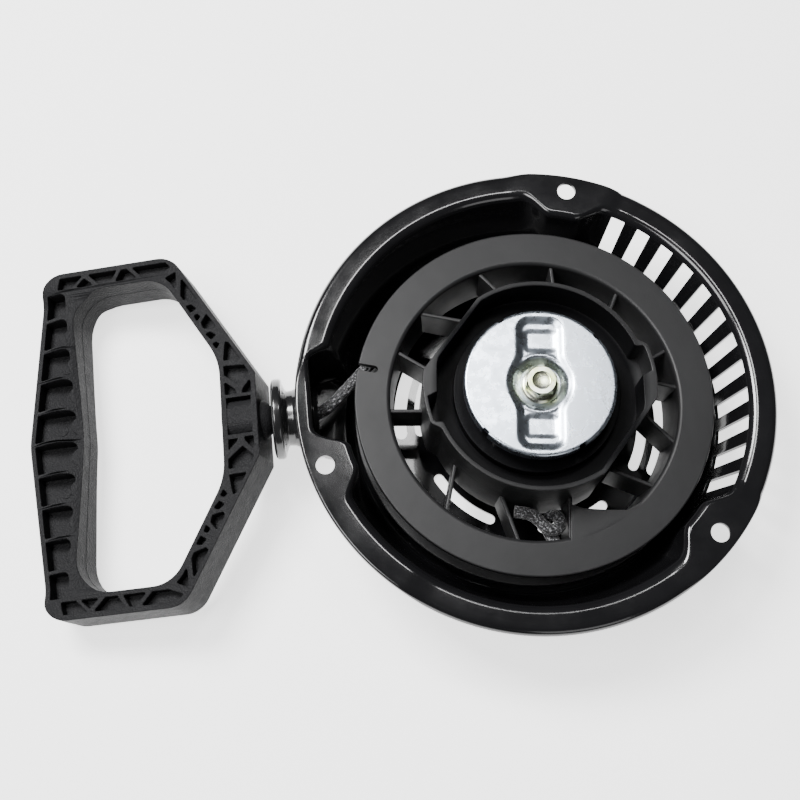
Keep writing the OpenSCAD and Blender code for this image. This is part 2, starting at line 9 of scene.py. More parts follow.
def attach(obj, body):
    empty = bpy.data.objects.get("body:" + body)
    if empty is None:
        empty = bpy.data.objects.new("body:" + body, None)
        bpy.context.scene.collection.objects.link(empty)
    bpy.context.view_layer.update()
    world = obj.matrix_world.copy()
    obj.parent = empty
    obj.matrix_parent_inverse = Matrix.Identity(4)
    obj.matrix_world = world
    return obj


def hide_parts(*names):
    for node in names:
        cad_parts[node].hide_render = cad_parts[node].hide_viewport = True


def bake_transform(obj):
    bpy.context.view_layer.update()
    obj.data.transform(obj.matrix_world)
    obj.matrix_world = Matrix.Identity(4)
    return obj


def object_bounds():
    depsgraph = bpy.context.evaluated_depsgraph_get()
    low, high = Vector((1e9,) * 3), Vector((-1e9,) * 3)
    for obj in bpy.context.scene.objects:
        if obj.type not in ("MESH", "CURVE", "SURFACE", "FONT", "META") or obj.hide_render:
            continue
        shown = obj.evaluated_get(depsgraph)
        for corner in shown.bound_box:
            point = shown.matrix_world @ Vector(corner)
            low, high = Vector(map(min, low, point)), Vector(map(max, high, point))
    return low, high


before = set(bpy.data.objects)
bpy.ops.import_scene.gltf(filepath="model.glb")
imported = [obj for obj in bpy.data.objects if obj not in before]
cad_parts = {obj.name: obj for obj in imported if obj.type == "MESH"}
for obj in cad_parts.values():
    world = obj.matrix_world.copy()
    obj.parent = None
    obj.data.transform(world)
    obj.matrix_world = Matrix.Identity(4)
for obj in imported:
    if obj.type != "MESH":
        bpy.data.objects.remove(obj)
cad_low, cad_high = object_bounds()
MM = 0.001
MERGE = 0.002

# ---- places shared with the CAD part ---------------------------------------------------------
FLANGE_R = 88
HOLE_ANGLES = (75, 195, 315)
HOLE_R = 3.4
HOLE_CIRCLE_R = 81.5
FLOOR_Z = -43.5
SHEET = 1.5
PULL_Y = 3
PULL_Z = -19
PIVOT = Vector((-105, PULL_Y, PULL_Z))
DROOP = 10.9
COIL_R = 56.85
ROPE_R = 2.3
COIL_PITCH = 4.75
LEAD_ANGLE = 133.1


# ---- small tools -----------------------------------------------------------------------------
def ramp(x, a, b):
    """0 before a, 1 after b, smooth between."""
    t = min(1, max(0, (x - a) / (b - a)))
    return t * t * (3 - 2 * t)


def mix(a, b, t):
    return a + (b - a) * t


def turn_between(a, b):
    """Smallest angle between two directions, in degrees."""
    return abs((a - b + 180) % 360 - 180)


def polar(r, angle):
    return Vector((r * math.cos(math.radians(angle)), r * math.sin(math.radians(angle))))


def arc(cx, cy, r, a0, a1, n):
    """Points of an arc, in n steps."""
    out = []
    for i in range(n + 1):
        a = math.radians(mix(a0, a1, i / n))
        out.append((cx + r * math.cos(a), cy + r * math.sin(a)))
    return out


def rounded(points, radii, n=5):
    """Closed outline whose corners are rounded."""
    out = []
    count = len(points)
    for i in range(count):
        p = Vector(points[i])
        r = radii[i] if isinstance(radii, (list, tuple)) else radii
        if r <= 0:
            out.append(tuple(p))
            continue
        ua = (Vector(points[i - 1]) - p).normalized()
        ub = (Vector(points[(i + 1) % count]) - p).normalized()
        half = math.acos(max(-1, min(1, ua.dot(ub)))) / 2
        if half > math.radians(89.5):
            out.append(tuple(p))
            continue
        c = p + (ua + ub).normalized() * (r / math.sin(half))
        t = p + ua * (r / math.tan(half)) - c
        s = p + ub * (r / math.tan(half)) - c
        a = math.atan2(t.y, t.x)
        turn = math.atan2(t.x * s.y - t.y * s.x, t.dot(s))
        for k in range(n + 1):
            b = a + turn * k / n
            out.append((c.x + r * math.cos(b), c.y + r * math.sin(b)))
    return out


def area(loop):
    return sum(a[0] * b[1] - b[0] * a[1] for a, b in zip(loop, loop[1:] + loop[:1])) / 2


def spaced(loop, least=0.22):
    """Outline without the points that nearly coincide."""
    out = [loop[0]]
    for p in loop[1:]:
        if (Vector(p) - Vector(out[-1])).length > least:
            out.append(p)
    while len(out) > 3 and (Vector(out[0]) - Vector(out[-1])).length < least:
        out.pop()
    return out


def fine(loop, longest=2.2):
    """Outline with its long edges split."""
    out = []
    for a, b in zip(loop, loop[1:] + loop[:1]):
        a, b = Vector(a), Vector(b)
        steps = max(1, math.ceil((b - a).length / longest))
        out += [tuple(a.lerp(b, k / steps)) for k in range(steps)]
    return out


def disc_loop(r, n):
    """Outline of a disc about the origin."""
    return arc(0, 0, r, 0, 360 - 360 / n, n - 1)


def face_up(obj):
    """Turns an open sheet's faces so that most of them look up."""
    if sum(f.normal.z * f.area for f in obj.data.polygons) < 0:
        obj.data.flip_normals()


def link(obj):
    bpy.context.scene.collection.objects.link(obj)
    return obj


def from_data(name, verts, faces):
    """Mesh object from points in mm; points within MERGE become one."""
    mesh = bpy.data.meshes.new(name)
    mesh.from_pydata([tuple(c * MM for c in v) for v in verts], [], faces)
    bm = bmesh.new()
    bm.from_mesh(mesh)
    bmesh.ops.remove_doubles(bm, verts=bm.verts, dist=MERGE * MM)
    bmesh.ops.recalc_face_normals(bm, faces=bm.faces)
    bm.to_mesh(mesh)
    bm.free()
    return link(bpy.data.objects.new(name, mesh))


def lathe(name, profile, steps=128):
    """Closed profile of (radius, height) turned about Z."""
    verts, faces = [], []
    count = len(profile)
    for s in range(steps):
        c, d = math.cos(2 * math.pi * s / steps), math.sin(2 * math.pi * s / steps)
        verts += [(r * c, r * d, z) for r, z in profile]
    for s in range(steps):
        t = (s + 1) % steps
        for i in range(count):
            j = (i + 1) % count
            if profile[i][0] < 1e-6 and profile[j][0] < 1e-6:
                continue
            faces.append((s * count + i, t * count + i, t * count + j, s * count + j))
    return from_data(name, verts, faces)


def prism(name, loop, z0, z1):
    """Straight-sided solid on an outline."""
    n = len(loop)
    verts = [(x, y, z0) for x, y in loop] + [(x, y, z1) for x, y in loop]
    faces = [tuple(range(n))[::-1], tuple(range(n, 2 * n))]
    faces += [(i, (i + 1) % n, n + (i + 1) % n, n + i) for i in range(n)]
    return from_data(name, verts, faces)


def plate(name, outline, holes, z0, z1, round_edge=0.4, segments=2):
    """Flat plate with rounded edges, cut from an outline and its holes."""
    curve = bpy.data.curves.new(name, "CURVE")
    curve.dimensions = "2D"
    curve.fill_mode = "BOTH"
    curve.extrude = ((z1 - z0) / 2 - round_edge) * MM
    curve.bevel_depth = round_edge * MM
    curve.bevel_resolution = segments - 1
    curve.offset = -round_edge * MM
    outline, holes = spaced(outline), [spaced(h) for h in holes]
    loops = [outline if area(outline) > 0 else outline[::-1]]
    loops += [h if area(h) < 0 else h[::-1] for h in holes]
    for loop in loops:
        spline = curve.splines.new("POLY")
        spline.points.add(len(loop) - 1)
        for point, (x, y) in zip(spline.points, loop):
            point.co = (x * MM, y * MM, 0, 1)
        spline.use_cyclic_u = True
    maker = link(bpy.data.objects.new(name + "_curve", curve))
    bpy.context.view_layer.update()
    mesh = bpy.data.meshes.new_from_object(maker.evaluated_get(bpy.context.evaluated_depsgraph_get()))
    bpy.data.objects.remove(maker)
    mesh.transform(Matrix.Translation((0, 0, (z0 + z1) / 2 * MM)))
    bm = bmesh.new()
    bm.from_mesh(mesh)
    bmesh.ops.remove_doubles(bm, verts=bm.verts, dist=1e-6)
    bmesh.ops.recalc_face_normals(bm, faces=bm.faces)
    bm.to_mesh(mesh)
    bm.free()
    mesh.name = name
    return link(bpy.data.objects.new(name, mesh))


def apply(obj):
    """Makes an object's modifiers part of its mesh."""
    bpy.context.view_layer.update()
    mesh = bpy.data.meshes.new_from_object(obj.evaluated_get(bpy.context.evaluated_depsgraph_get()))
    mesh.name = obj.name
    obj.modifiers.clear()
    obj.data = mesh
    return obj


def boolean(obj, cutter, operation="DIFFERENCE"):
    """Cuts an object with another one, which is used up."""
    mod = obj.modifiers.new("cut", "BOOLEAN")
    mod.object = cutter
    mod.operation = operation
    mod.solver = "EXACT"
    apply(obj)
    bpy.data.objects.remove(cutter)
    return obj


def join(name, parts):
    """One object from several, each already in place."""
    bm = bmesh.new()
    for part in parts:
        mesh = part.data.copy()
        mesh.transform(part.matrix_world)
        bm.from_mesh(mesh)
        bpy.data.meshes.remove(mesh)
        bpy.data.objects.remove(part)
    mesh = bpy.data.meshes.new(name)
    bm.to_mesh(mesh)
    bm.free()
    return link(bpy.data.objects.new(name, mesh))


def place(obj, matrix):
    """Moves a piece's mesh by a matrix written in mm."""
    moved = matrix.copy()
    moved.translation = matrix.translation * MM
    obj.data.transform(moved)
    return obj


def shade(obj, angle=38, weighted=True):
    for face in obj.data.polygons:
        face.use_smooth = True
    obj.data.set_sharp_from_angle(angle=math.radians(angle))
    if weighted:
        mod = obj.modifiers.new("normals", "WEIGHTED_NORMAL")
        mod.mode = "FACE_AREA"
        mod.keep_sharp = True
        apply(obj)
    return obj


def piece(obj, name, material, body, nodes=(), angle=38, weighted=True):
    """Finishes a piece: shading, material, the CAD nodes that it stands for and the body it rides on."""
    obj.name = name
    obj.data.name = name
    shade(obj, angle, weighted)
    obj.data.materials.clear()
    obj.data.materials.append(material)
    if nodes:
        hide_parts(*nodes)
    if body:
        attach(obj, body)
    return obj


# ---- materials -------------------------------------------------------------------------------
class Paint:
    """A material's nodes, built one line at a time."""

    def __init__(self, name, **values):
        self.material = bpy.data.materials.new(name)
        self.material.use_nodes = True
        self.tree = self.material.node_tree
        self.shader = self.tree.nodes["Principled BSDF"]
        self.coords = self.tree.nodes.new("ShaderNodeTexCoord").outputs["Object"]
        for key, value in values.items():
            self.shader.inputs[key.replace("_", " ")].default_value = value

    def node(self, kind, **values):
        node = self.tree.nodes.new(kind)
        for key, value in values.items():
            if hasattr(node, key):
                setattr(node, key, value)
            else:
                node.inputs[key.replace("_", " ")].default_value = value
        return node

    def link(self, a, b):
        self.tree.links.new(a, b)

    def noise(self, scale, detail=3, rough=0.5, stretch=None):
        node = self.node("ShaderNodeTexNoise", Scale=scale, Detail=detail, Roughness=rough)
        self.link(self.mapped(stretch), node.inputs["Vector"])
        return node.outputs["Fac"]

    def voronoi(self, scale):
        node = self.node("ShaderNodeTexVoronoi", Scale=scale)
        self.link(self.coords, node.inputs["Vector"])
        return node.outputs["Distance"]

    def mapped(self, stretch):
        """The object's coordinates, stretched by three factors."""
        if stretch is None:
            return self.coords
        node = self.node("ShaderNodeMapping")
        node.inputs["Scale"].default_value = stretch
        self.link(self.coords, node.inputs["Vector"])
        return node.outputs["Vector"]

    def span(self, value, low, high, out_low, out_high):
        """Value from low..high spread over out_low..out_high."""
        node = self.node("ShaderNodeMapRange")
        for key, number in (("From Min", low), ("From Max", high), ("To Min", out_low), ("To Max", out_high)):
            node.inputs[key].default_value = number
        self.link(value, node.inputs["Value"])
        return node.outputs["Result"]

    def math(self, operation, a, b):
        node = self.node("ShaderNodeMath", operation=operation)
        for slot, value in ((0, a), (1, b)):
            if isinstance(value, (int, float)):
                node.inputs[slot].default_value = value
            else:
                self.link(value, node.inputs[slot])
        return node.outputs["Value"]

    def blend(self, value, first, second):
        """Colour from first to second as value goes from 0 to 1."""
        node = self.node("ShaderNodeMix", data_type="RGBA")
        for slot, colour in ((6, first), (7, second)):
            if isinstance(colour, tuple):
                node.inputs[slot].default_value = (*colour, 1)
            else:
                self.link(colour, node.inputs[slot])
        self.link(value, node.inputs[0])
        return node.outputs[2]

    def bump(self, height, strength, distance):
        node = self.node("ShaderNodeBump", Strength=strength, Distance=distance)
        previous = self.shader.inputs["Normal"].links
        if previous:
            self.link(previous[0].from_socket, node.inputs["Normal"])
        self.link(height, node.inputs["Height"])
        self.link(node.outputs["Normal"], self.shader.inputs["Normal"])

    def drive(self, socket, value):
        self.link(value, self.shader.inputs[socket])


def gloss_paint():
    p = Paint("gloss_black_paint", Metallic=0.0, IOR=1.5, Coat_Weight=0.35, Coat_Roughness=0.04)
    p.drive("Base Color", p.blend(p.noise(35, 4), (0.004, 0.004, 0.0045), (0.010, 0.010, 0.011)))
    p.drive("Roughness", p.span(p.noise(60, 5, 0.6), 0.3, 0.7, 0.10, 0.22))
    p.bump(p.noise(900, 2), 0.05, 0.0002)
    p.bump(p.noise(90, 2), 0.06, 0.0008)
    return p.material


def satin_plastic():
    """Moulded plastic, with painted shade that darkens it inside the drive cup."""
    p = Paint("black_polypropylene", IOR=1.34)
    across = p.node("ShaderNodeVectorMath", operation="MULTIPLY")
    across.inputs[1].default_value = (1, 1, 0)
    p.link(p.coords, across.inputs[0])
    length = p.node("ShaderNodeVectorMath", operation="LENGTH")
    p.link(across.outputs["Vector"], length.inputs[0])
    # painted shade: inside the drive cup, within about 37 mm of the axis, the plastic is painted darker and
    # reflects less
    outside_painted_shade = p.span(length.outputs["Value"], 0.0365, 0.0395, 0, 1)
    cloud = p.blend(p.noise(28, 4, 0.6), (0.010, 0.010, 0.0105), (0.020, 0.020, 0.021))
    p.drive("Base Color", p.blend(outside_painted_shade, (0.003, 0.003, 0.0035), cloud))
    p.drive("Specular IOR Level", p.span(outside_painted_shade, 0, 1, 0.1, 0.55))
    p.drive("Roughness", p.span(p.noise(90, 5, 0.65), 0.3, 0.7, 0.36, 0.48))
    p.bump(p.noise(2600, 2), 0.25, 0.00012)
    p.bump(p.noise(120, 3), 0.10, 0.0008)
    return p.material


def textured_nylon():
    p = Paint("textured_nylon", IOR=1.14)
    grain = p.voronoi(1500)
    cloud = p.noise(30, 4, 0.6)
    p.drive("Base Color", p.blend(cloud, (0.010, 0.010, 0.011), (0.022, 0.022, 0.023)))
    p.drive("Roughness", p.span(p.noise(300, 4, 0.7), 0.3, 0.7, 0.38, 0.52))
    p.bump(grain, 0.8, 0.00025)
    p.bump(p.noise(1100, 2), 0.3, 0.0002)
    return p.material


def zinc(name, tint, shine, chromate=0.0):
    p = Paint(name, Metallic=1.0)
    spangle = p.noise(180, 6, 0.7)
    base = p.blend(spangle, tuple(c * 0.86 for c in tint), tint)
    if chromate:
        patches = p.span(p.noise(90, 3, 0.6), 0.42, 0.62, 0, chromate)
        base = p.blend(patches, base, (0.46, 0.50, 0.17))
    p.drive("Base Color", base)
    p.drive("Roughness", p.span(p.noise(260, 5, 0.7), 0.3, 0.7, shine * 0.8, shine * 1.25))
    p.bump(p.noise(420, 4, 0.6), 0.12, 0.0002)
    return p.material


def polished_black():
    p = Paint("polished_black", IOR=1.5, Coat_Weight=0.5, Coat_Roughness=0.05)
    p.drive("Base Color", p.blend(p.noise(40, 4), (0.006, 0.006, 0.006), (0.014, 0.014, 0.015)))
    p.drive("Roughness", p.span(p.noise(120, 4, 0.6), 0.3, 0.7, 0.14, 0.26))
    p.bump(p.noise(300, 3), 0.10, 0.0003)
    return p.material


def spring_steel():
    p = Paint("spring_steel", Metallic=1.0)
    p.drive("Base Color", p.blend(p.noise(200, 5), (0.20, 0.21, 0.23), (0.36, 0.37, 0.38)))
    p.drive("Roughness", p.span(p.noise(300, 5), 0.3, 0.7, 0.25, 0.42))
    p.bump(p.noise(700, 3), 0.15, 0.0002)
    return p.material


def hardened_steel():
    p = Paint("hardened_steel", Metallic=1.0)
    p.drive("Base Color", p.blend(p.noise(120, 5), (0.30, 0.30, 0.31), (0.48, 0.48, 0.49)))
    p.drive("Roughness", p.span(p.noise(240, 5), 0.3, 0.7, 0.30, 0.5))
    p.bump(p.noise(500, 4), 0.2, 0.0002)
    return p.material


def machined_steel():
    p = Paint("machined_steel", Metallic=1.0)
    p.drive("Base Color", p.blend(p.noise(60, 4), (0.46, 0.46, 0.47), (0.62, 0.62, 0.63)))
    p.drive("Roughness", p.span(p.noise(300, 4, 0.6, (1, 1, 18)), 0.3, 0.7, 0.22, 0.36))
    p.bump(p.noise(200, 2, 0.5, (1, 1, 22)), 0.2, 0.0001)
    return p.material


def braid():
    """Braid of the rope: u runs round the rope and v along it."""
    p = Paint("braided_rope", IOR=1.5, Sheen_Weight=0.35, Sheen_Roughness=0.4)
    uv = p.tree.nodes.new("ShaderNodeTexCoord").outputs["UV"]
    split = p.node("ShaderNodeSeparateXYZ")
    p.link(uv, split.inputs[0])
    waves = []
    for sign in (1, -1):
        lean = p.math("ADD", p.math("MULTIPLY", split.outputs["X"], 8 * sign), split.outputs["Y"])
        turn = p.math("FRACT", lean, 0)
        hump = p.math("MULTIPLY", turn, p.math("SUBTRACT", 1, turn))
        waves.append(p.math("MULTIPLY", hump, 4))
    checker = p.math("PINGPONG", split.outputs["Y"], 0.5)
    height = p.math("MAXIMUM", waves[0], p.math("ADD", waves[1], p.math("SUBTRACT", checker, 0.25)))
    strands = p.noise(2400, 3, 0.7)
    # painted glints: grey flecks scattered at random over the rope
    painted_glints = p.span(p.noise(1500, 2, 0.5), 0.56, 0.60, 0, 0.9)
    # painted shade and highlight: the braid's grooves are painted darker and its crests lighter
    base = p.blend(height, (0.003, 0.003, 0.0035), (0.014, 0.014, 0.015))
    p.drive("Base Color", p.blend(painted_glints, base, (0.22, 0.22, 0.23)))
    p.drive("Roughness", p.span(strands, 0.3, 0.7, 0.5, 0.75))
    p.bump(height, 0.8, 0.0006)
    p.bump(strands, 0.4, 0.0002)
    return p.material


GLOSS = gloss_paint()
SATIN = satin_plastic()
NYLON = textured_nylon()
ZINC = zinc("zinc_plate", (0.62, 0.68, 0.76), 0.28)
YELLOW = zinc("yellow_zinc", (0.60, 0.62, 0.54), 0.22, 0.85)
BLACK = polished_black()
SPRING = spring_steel()
HARD = hardened_steel()
STEEL = machined_steel()
BRAID = braid()


# ---- housing ---------------------------------------------------------------------------------
SHOULDER_R = 3.6
# share of its radius that the shoulder runs inwards before it meets the wall
SHOULDER_RUN = 0.978
LIP_Z = -3.1
SEAT_Z = -36
POST_HOLE_R = 6.6
# the bowl's inner wall is a cone, flat at the rope's bay and pushed in at the holes
WALL_FOOT_R, WALL_FOOT_Z = 69.49, -39.54
WALL_TOP_R, WALL_TOP_Z = 77.38, -3.65
BAY_X = 82
BULGE_R = 70.6
# air slots in the wall, by direction
SLOT_PITCH = 8
SLOT_TURNS = [15 + SLOT_PITCH * (i - 5.5) for i in range(12)]
SLOT_SIDES = (-1, -0.33, 0.33, 1)
SLOT_HALF = 2.7
SLOT_FOOT_Z = -28
# heights of the section's rows down the wall, and how many rows come before them
WALL_ROWS = [-6, -9, -12, -15, -18, -21, -24, -26, SLOT_FOOT_Z, -30, -32, -33.5, -34.5, -35.5, -36.5, -38]
LIP_ROWS = 2
ROLL_STEPS = 6
FLANGE_ROWS = 2
SHOULDER_STEPS = 9
WALL_FIRST = LIP_ROWS + ROLL_STEPS + 1 + FLANGE_ROWS + SHOULDER_STEPS + 1
SLOT_ROW_FIRST = WALL_FIRST - 2
SLOT_ROW_LAST = WALL_FIRST + WALL_ROWS.index(SLOT_FOOT_Z)
# the closed end's slots aren't centred on the crank axis
END_SLOT_SHIFT = (3, 2.3)
GUIDE_HOLE_R = 9
GUIDE_HOLE_X = -82.75


def pad_share(angle):
    """1 on the flat pads of the flange, 0 on its rolled lip."""
    share = max(1 - ramp(turn_between(angle, a), 9.5, 17) for a in HOLE_ANGLES)
    return max(share, 1 - ramp(turn_between(angle, 201.5), 28, 36))


def bulge_share(angle):
    """1 where the wall is pushed inwards round a mounting hole."""
    wide = max(1 - ramp(turn_between(angle, a), 3.5, 12.5) for a in (75, 315))
    return max(wide, 1 - ramp(turn_between(angle, 195), 3, 11 if angle > 195 else 10))


def bay_share(angle):
    """1 on the flat-walled bay that carries the rope guide."""
    if turn_between(angle, 180) > 60:
        return 0
    y = -BAY_X * math.tan(math.radians(angle - 180))
    return ramp(y, -15.5, -6) * (1 - ramp(y, 19, 28))


def wall_radius(angle, z):
    """Radius of the bowl's inner face."""
    base = mix(WALL_FOOT_R, WALL_TOP_R, (z - WALL_FOOT_Z) / (WALL_TOP_Z - WALL_FOOT_Z))
    r = base - max(0, base - BULGE_R) * bulge_share(angle)
    share = bay_share(angle) * ramp(z, -36.4, -34.2)
    if share > 0:
        r = mix(r, BAY_X / abs(math.cos(math.radians(angle))), share)
    return r


def housing_section(angle):
    """Section of the sheet from the rim to the centre: pairs of points on its upper and lower face."""
    pad, bulge, bay = pad_share(angle), bulge_share(angle), bay_share(angle)
    top = mix(-0.8, 0, pad)
    rim = mix(2.6, 1.0, pad)
    shoulder = max(1.8, SHOULDER_R - 1.2 * bulge - 1.7 * bay)
    inner = wall_radius(angle, WALL_TOP_Z) + shoulder * SHOULDER_RUN
    under = max(rim - SHEET, 0.1)
    edge = FLANGE_R - SHEET - under
    points = [((FLANGE_R, LIP_Z), (FLANGE_R - SHEET, LIP_Z)),
              ((FLANGE_R, mix(LIP_Z, top - rim, 0.5)),
               (FLANGE_R - SHEET, mix(LIP_Z, top - SHEET - under, 0.5)))]
    points += list(zip(arc(FLANGE_R - rim, top - rim, rim, 0, 90, ROLL_STEPS),
                       arc(edge, top - SHEET - under, under, 0, 90, ROLL_STEPS)))
    for share in (0.3, 0.6):
        points.append(((mix(FLANGE_R - rim, inner, share), top), (mix(edge, inner, share), top - SHEET)))
    points += list(zip(arc(inner, top - shoulder, shoulder, 90, 168, SHOULDER_STEPS),
                       arc(inner, top - shoulder, shoulder - SHEET, 90, 168, SHOULDER_STEPS)))
    upper = [(wall_radius(angle, z), z) for z in WALL_ROWS]
    upper += arc(64.6, -38.5, 5, -12, -90, 7)
    upper += [(r, FLOOR_Z) for r in (61, 56, 50, 44, 38, 32, 27)]
    dome = [(25.5, FLOOR_Z), (24, FLOOR_Z), (17, SEAT_Z), (POST_HOLE_R, SEAT_Z), (POST_HOLE_R, -50)]
    upper += rounded(dome, [0, 3, 3, 0, 0], 4)[1:-1]
    before = points[-1][0]
    for i, (r, z) in enumerate(upper):
        after = upper[i + 1] if i + 1 < len(upper) else (r - 1, z)
        run = Vector((after[0] - before[0], after[1] - before[1])).normalized()
        points.append(((r, z), (r - run.y * SHEET, z + run.x * SHEET)))
        before = (r, z)
    return points


def housing_columns():
    """Directions of the mesh's columns: (angle, side), where side is -1 or 1 on the edges of an air slot."""
    columns = []
    for turn in SLOT_TURNS:
        columns += [(turn, side) for side in SLOT_SIDES]
        columns += [(turn + SLOT_PITCH / 2 + step, 0) for step in (-0.9, 0, 0.9)]
    last = columns[-1][0]
    first = SLOT_TURNS[0] - 2.5 + 360
    rest = 370
    columns += [(mix(last, first, (i + 1) / (rest + 1)), 0) for i in range(rest)]
    return columns


def housing_shell():
    """The stamped sheet, column by column, with its air slots left open."""
    columns = housing_columns()
    verts, faces = [], []
    for angle, side in columns:
        section = housing_section(angle)
        rows = len(section)
        for layer in (0, 1):
            for pair in section:
                r, z = pair[layer]
                # the slots' edges are parallel
                lean = math.degrees(math.asin(SLOT_HALF * side / max(r, 62)))
                verts.append((*polar(r, angle + lean), z))
    count = len(columns)
    gaps = [columns[c][1] in SLOT_SIDES[:-1] and columns[(c + 1) % count][1] in SLOT_SIDES[1:]
            for c in range(count)]
    for c in range(count):
        d = (c + 1) % count
        up, down = c * 2 * rows, d * 2 * rows
        for row in range(rows - 1):
            if gaps[c] and SLOT_ROW_FIRST <= row < SLOT_ROW_LAST:
                continue
            faces.append((up + row, up + row + 1, down + row + 1, down + row))
            faces.append((up + rows + row, down + rows + row, down + rows + row + 1, up + rows + row + 1))
        for row in (0, rows - 1):
            faces.append((up + row, down + row, down + rows + row, up + rows + row))
        if gaps[c]:
            for row in (SLOT_ROW_FIRST, SLOT_ROW_LAST):
                faces.append((up + row, down + row, down + rows + row, up + rows + row))
        if gaps[c] != gaps[c - 1]:
            for row in range(SLOT_ROW_FIRST, SLOT_ROW_LAST):
                faces.append((up + row, up + row + 1, up + rows + row + 1, up + rows + row))
    shell = from_data("housing_shell", verts, faces)
    edge = shell.modifiers.new("edge", "BEVEL")
    edge.limit_method = "ANGLE"
    edge.angle_limit = math.radians(60)
    edge.width = 0.2 * MM
    edge.segments = 2
    edge.use_clamp_overlap = False
    return apply(shell)


def arc_slot(r, w, a0, a1):
    """Curved slot with round ends."""
    half = w / 2
    c1, c0 = polar(r, a1), polar(r, a0)
    return (arc(0, 0, r - half, a0, a1, 14) + arc(c1.x, c1.y, half, a1 + 150, a1 + 30, 5)
            + arc(0, 0, r + half, a1, a0, 14) + arc(c0.x, c0.y, half, a0 - 30, a0 - 150, 5))


def housing():
    shell = housing_shell()
    slots = [arc_slot(51.7, 4.8, 151 + turn, 182 + turn) for turn in (0, 180)]
    slots += [arc_slot(44.2, 4, 209 + turn, 242 + turn) for turn in range(0, 360, 60)]
    across, along = END_SLOT_SHIFT
    cutters = [prism("cut", [(x + across, y + along) for x, y in loop], -47, -41) for loop in slots]
    for a in HOLE_ANGLES:
        bore = [(0, 1), (HOLE_R + 1, 1), (HOLE_R, -0.15), (HOLE_R, -1.6), (HOLE_R + 0.5, -2.1),
                (HOLE_R + 0.5, -6), (0, -6)]
        drill = lathe("cut", bore, 48)
        place(drill, Matrix.Translation((*polar(HOLE_CIRCLE_R, a), 0)))
        cutters.append(drill)
    drill = lathe("cut", [(0, -6), (GUIDE_HOLE_R, -6), (GUIDE_HOLE_R, 6), (0, 6)], 64)
    place(drill, Matrix.Translation((GUIDE_HOLE_X, PULL_Y, PULL_Z)) @ Matrix.Rotation(math.pi / 2, 4, "Y"))
    cutters.append(drill)
    return boolean(shell, join("cutters", cutters))


piece(housing(), "housing_shell", GLOSS, "housing", ["starter_housing"], 42)


# ---- rope guide ------------------------------------------------------------------------------
def along_pull(obj):
    """Turns a piece made about Z so that its heights run outwards along the pull, from the crank axis."""
    return place(obj, Matrix.Translation((0, PULL_Y, PULL_Z)) @ Matrix.Rotation(-math.pi / 2, 4, "Y"))


def guide():
    outline = [(3.6, 83), (7.4, 80.1), (9.4, 80.1), (10.8, 81.95), (8.9, 82.05), (8.9, 83.5), (12.4, 83.6),
               (12.0, 86.2), (10.5, 89.2), (10.2, 91.6), (13.1, 92.9), (15.1, 93.2), (15.1, 96.6), (13.4, 97),
               (5.6, 97), (4.6, 96.6), (3.6, 95.4)]
    radii = [0.8, 0.5, 0.4, 0.3, 0, 0, 0.6, 1, 1.6, 0.8, 0.6, 1.2, 1.2, 0.5, 0.6, 0.4, 0.6]
    profile = rounded(outline, radii, 4)
    return along_pull(lathe("guide", profile, 96))


piece(guide(), "rope_guide_ferrule", BLACK, "housing", ["rope_guide"])


# ---- handle ----------------------------------------------------------------------------------
HANDLE = Matrix.Translation(PIVOT) @ Matrix.Rotation(math.radians(-DROOP), 4, "Y")
GRIP_HALF = 10
POCKET_FLOOR = 1.7
ARM_POCKET_FLOOR = 5.8
GRIP_RIBS = [12.3 * i for i in range(-4, 5)]
GRIP_RIB = 1.3
MOULD_STEP = 0.9985
EJECTOR_MARKS = (-43.1, -18.5, 6.1, 30.7, 55.2)
STEM_SPACE = [(-7, -7.4), (3, -7.4), (3, 7.4), (-7, 7.4)]


def grip_wall(y):
    """Inner face of the grip bar's outer wall."""
    return -82.8 + abs(y) * 7 / 67.5


def grip_inner(y):
    """Inner face of the grip bar's wall beside the fingers."""
    return -65.6 - abs(y) * 3.4 / 59


def grip_loops():
    """Pockets between the grip's cross ribs."""
    loops = []
    half = GRIP_RIB / 2
    edges = [(-59.3, GRIP_RIBS[0] - half)]
    edges += [(a + half, b - half) for a, b in zip(GRIP_RIBS, GRIP_RIBS[1:])]
    edges += [(GRIP_RIBS[-1] + half, 59.3)]
    for y0, y1 in edges:
        corners = [(grip_wall(y0), y0), (grip_inner(y0), y0), (grip_inner(y1), y1), (grip_wall(y1), y1)]
        loops.append(rounded(corners, [0.7, 2.4, 2.4, 0.7], 4))
    return loops


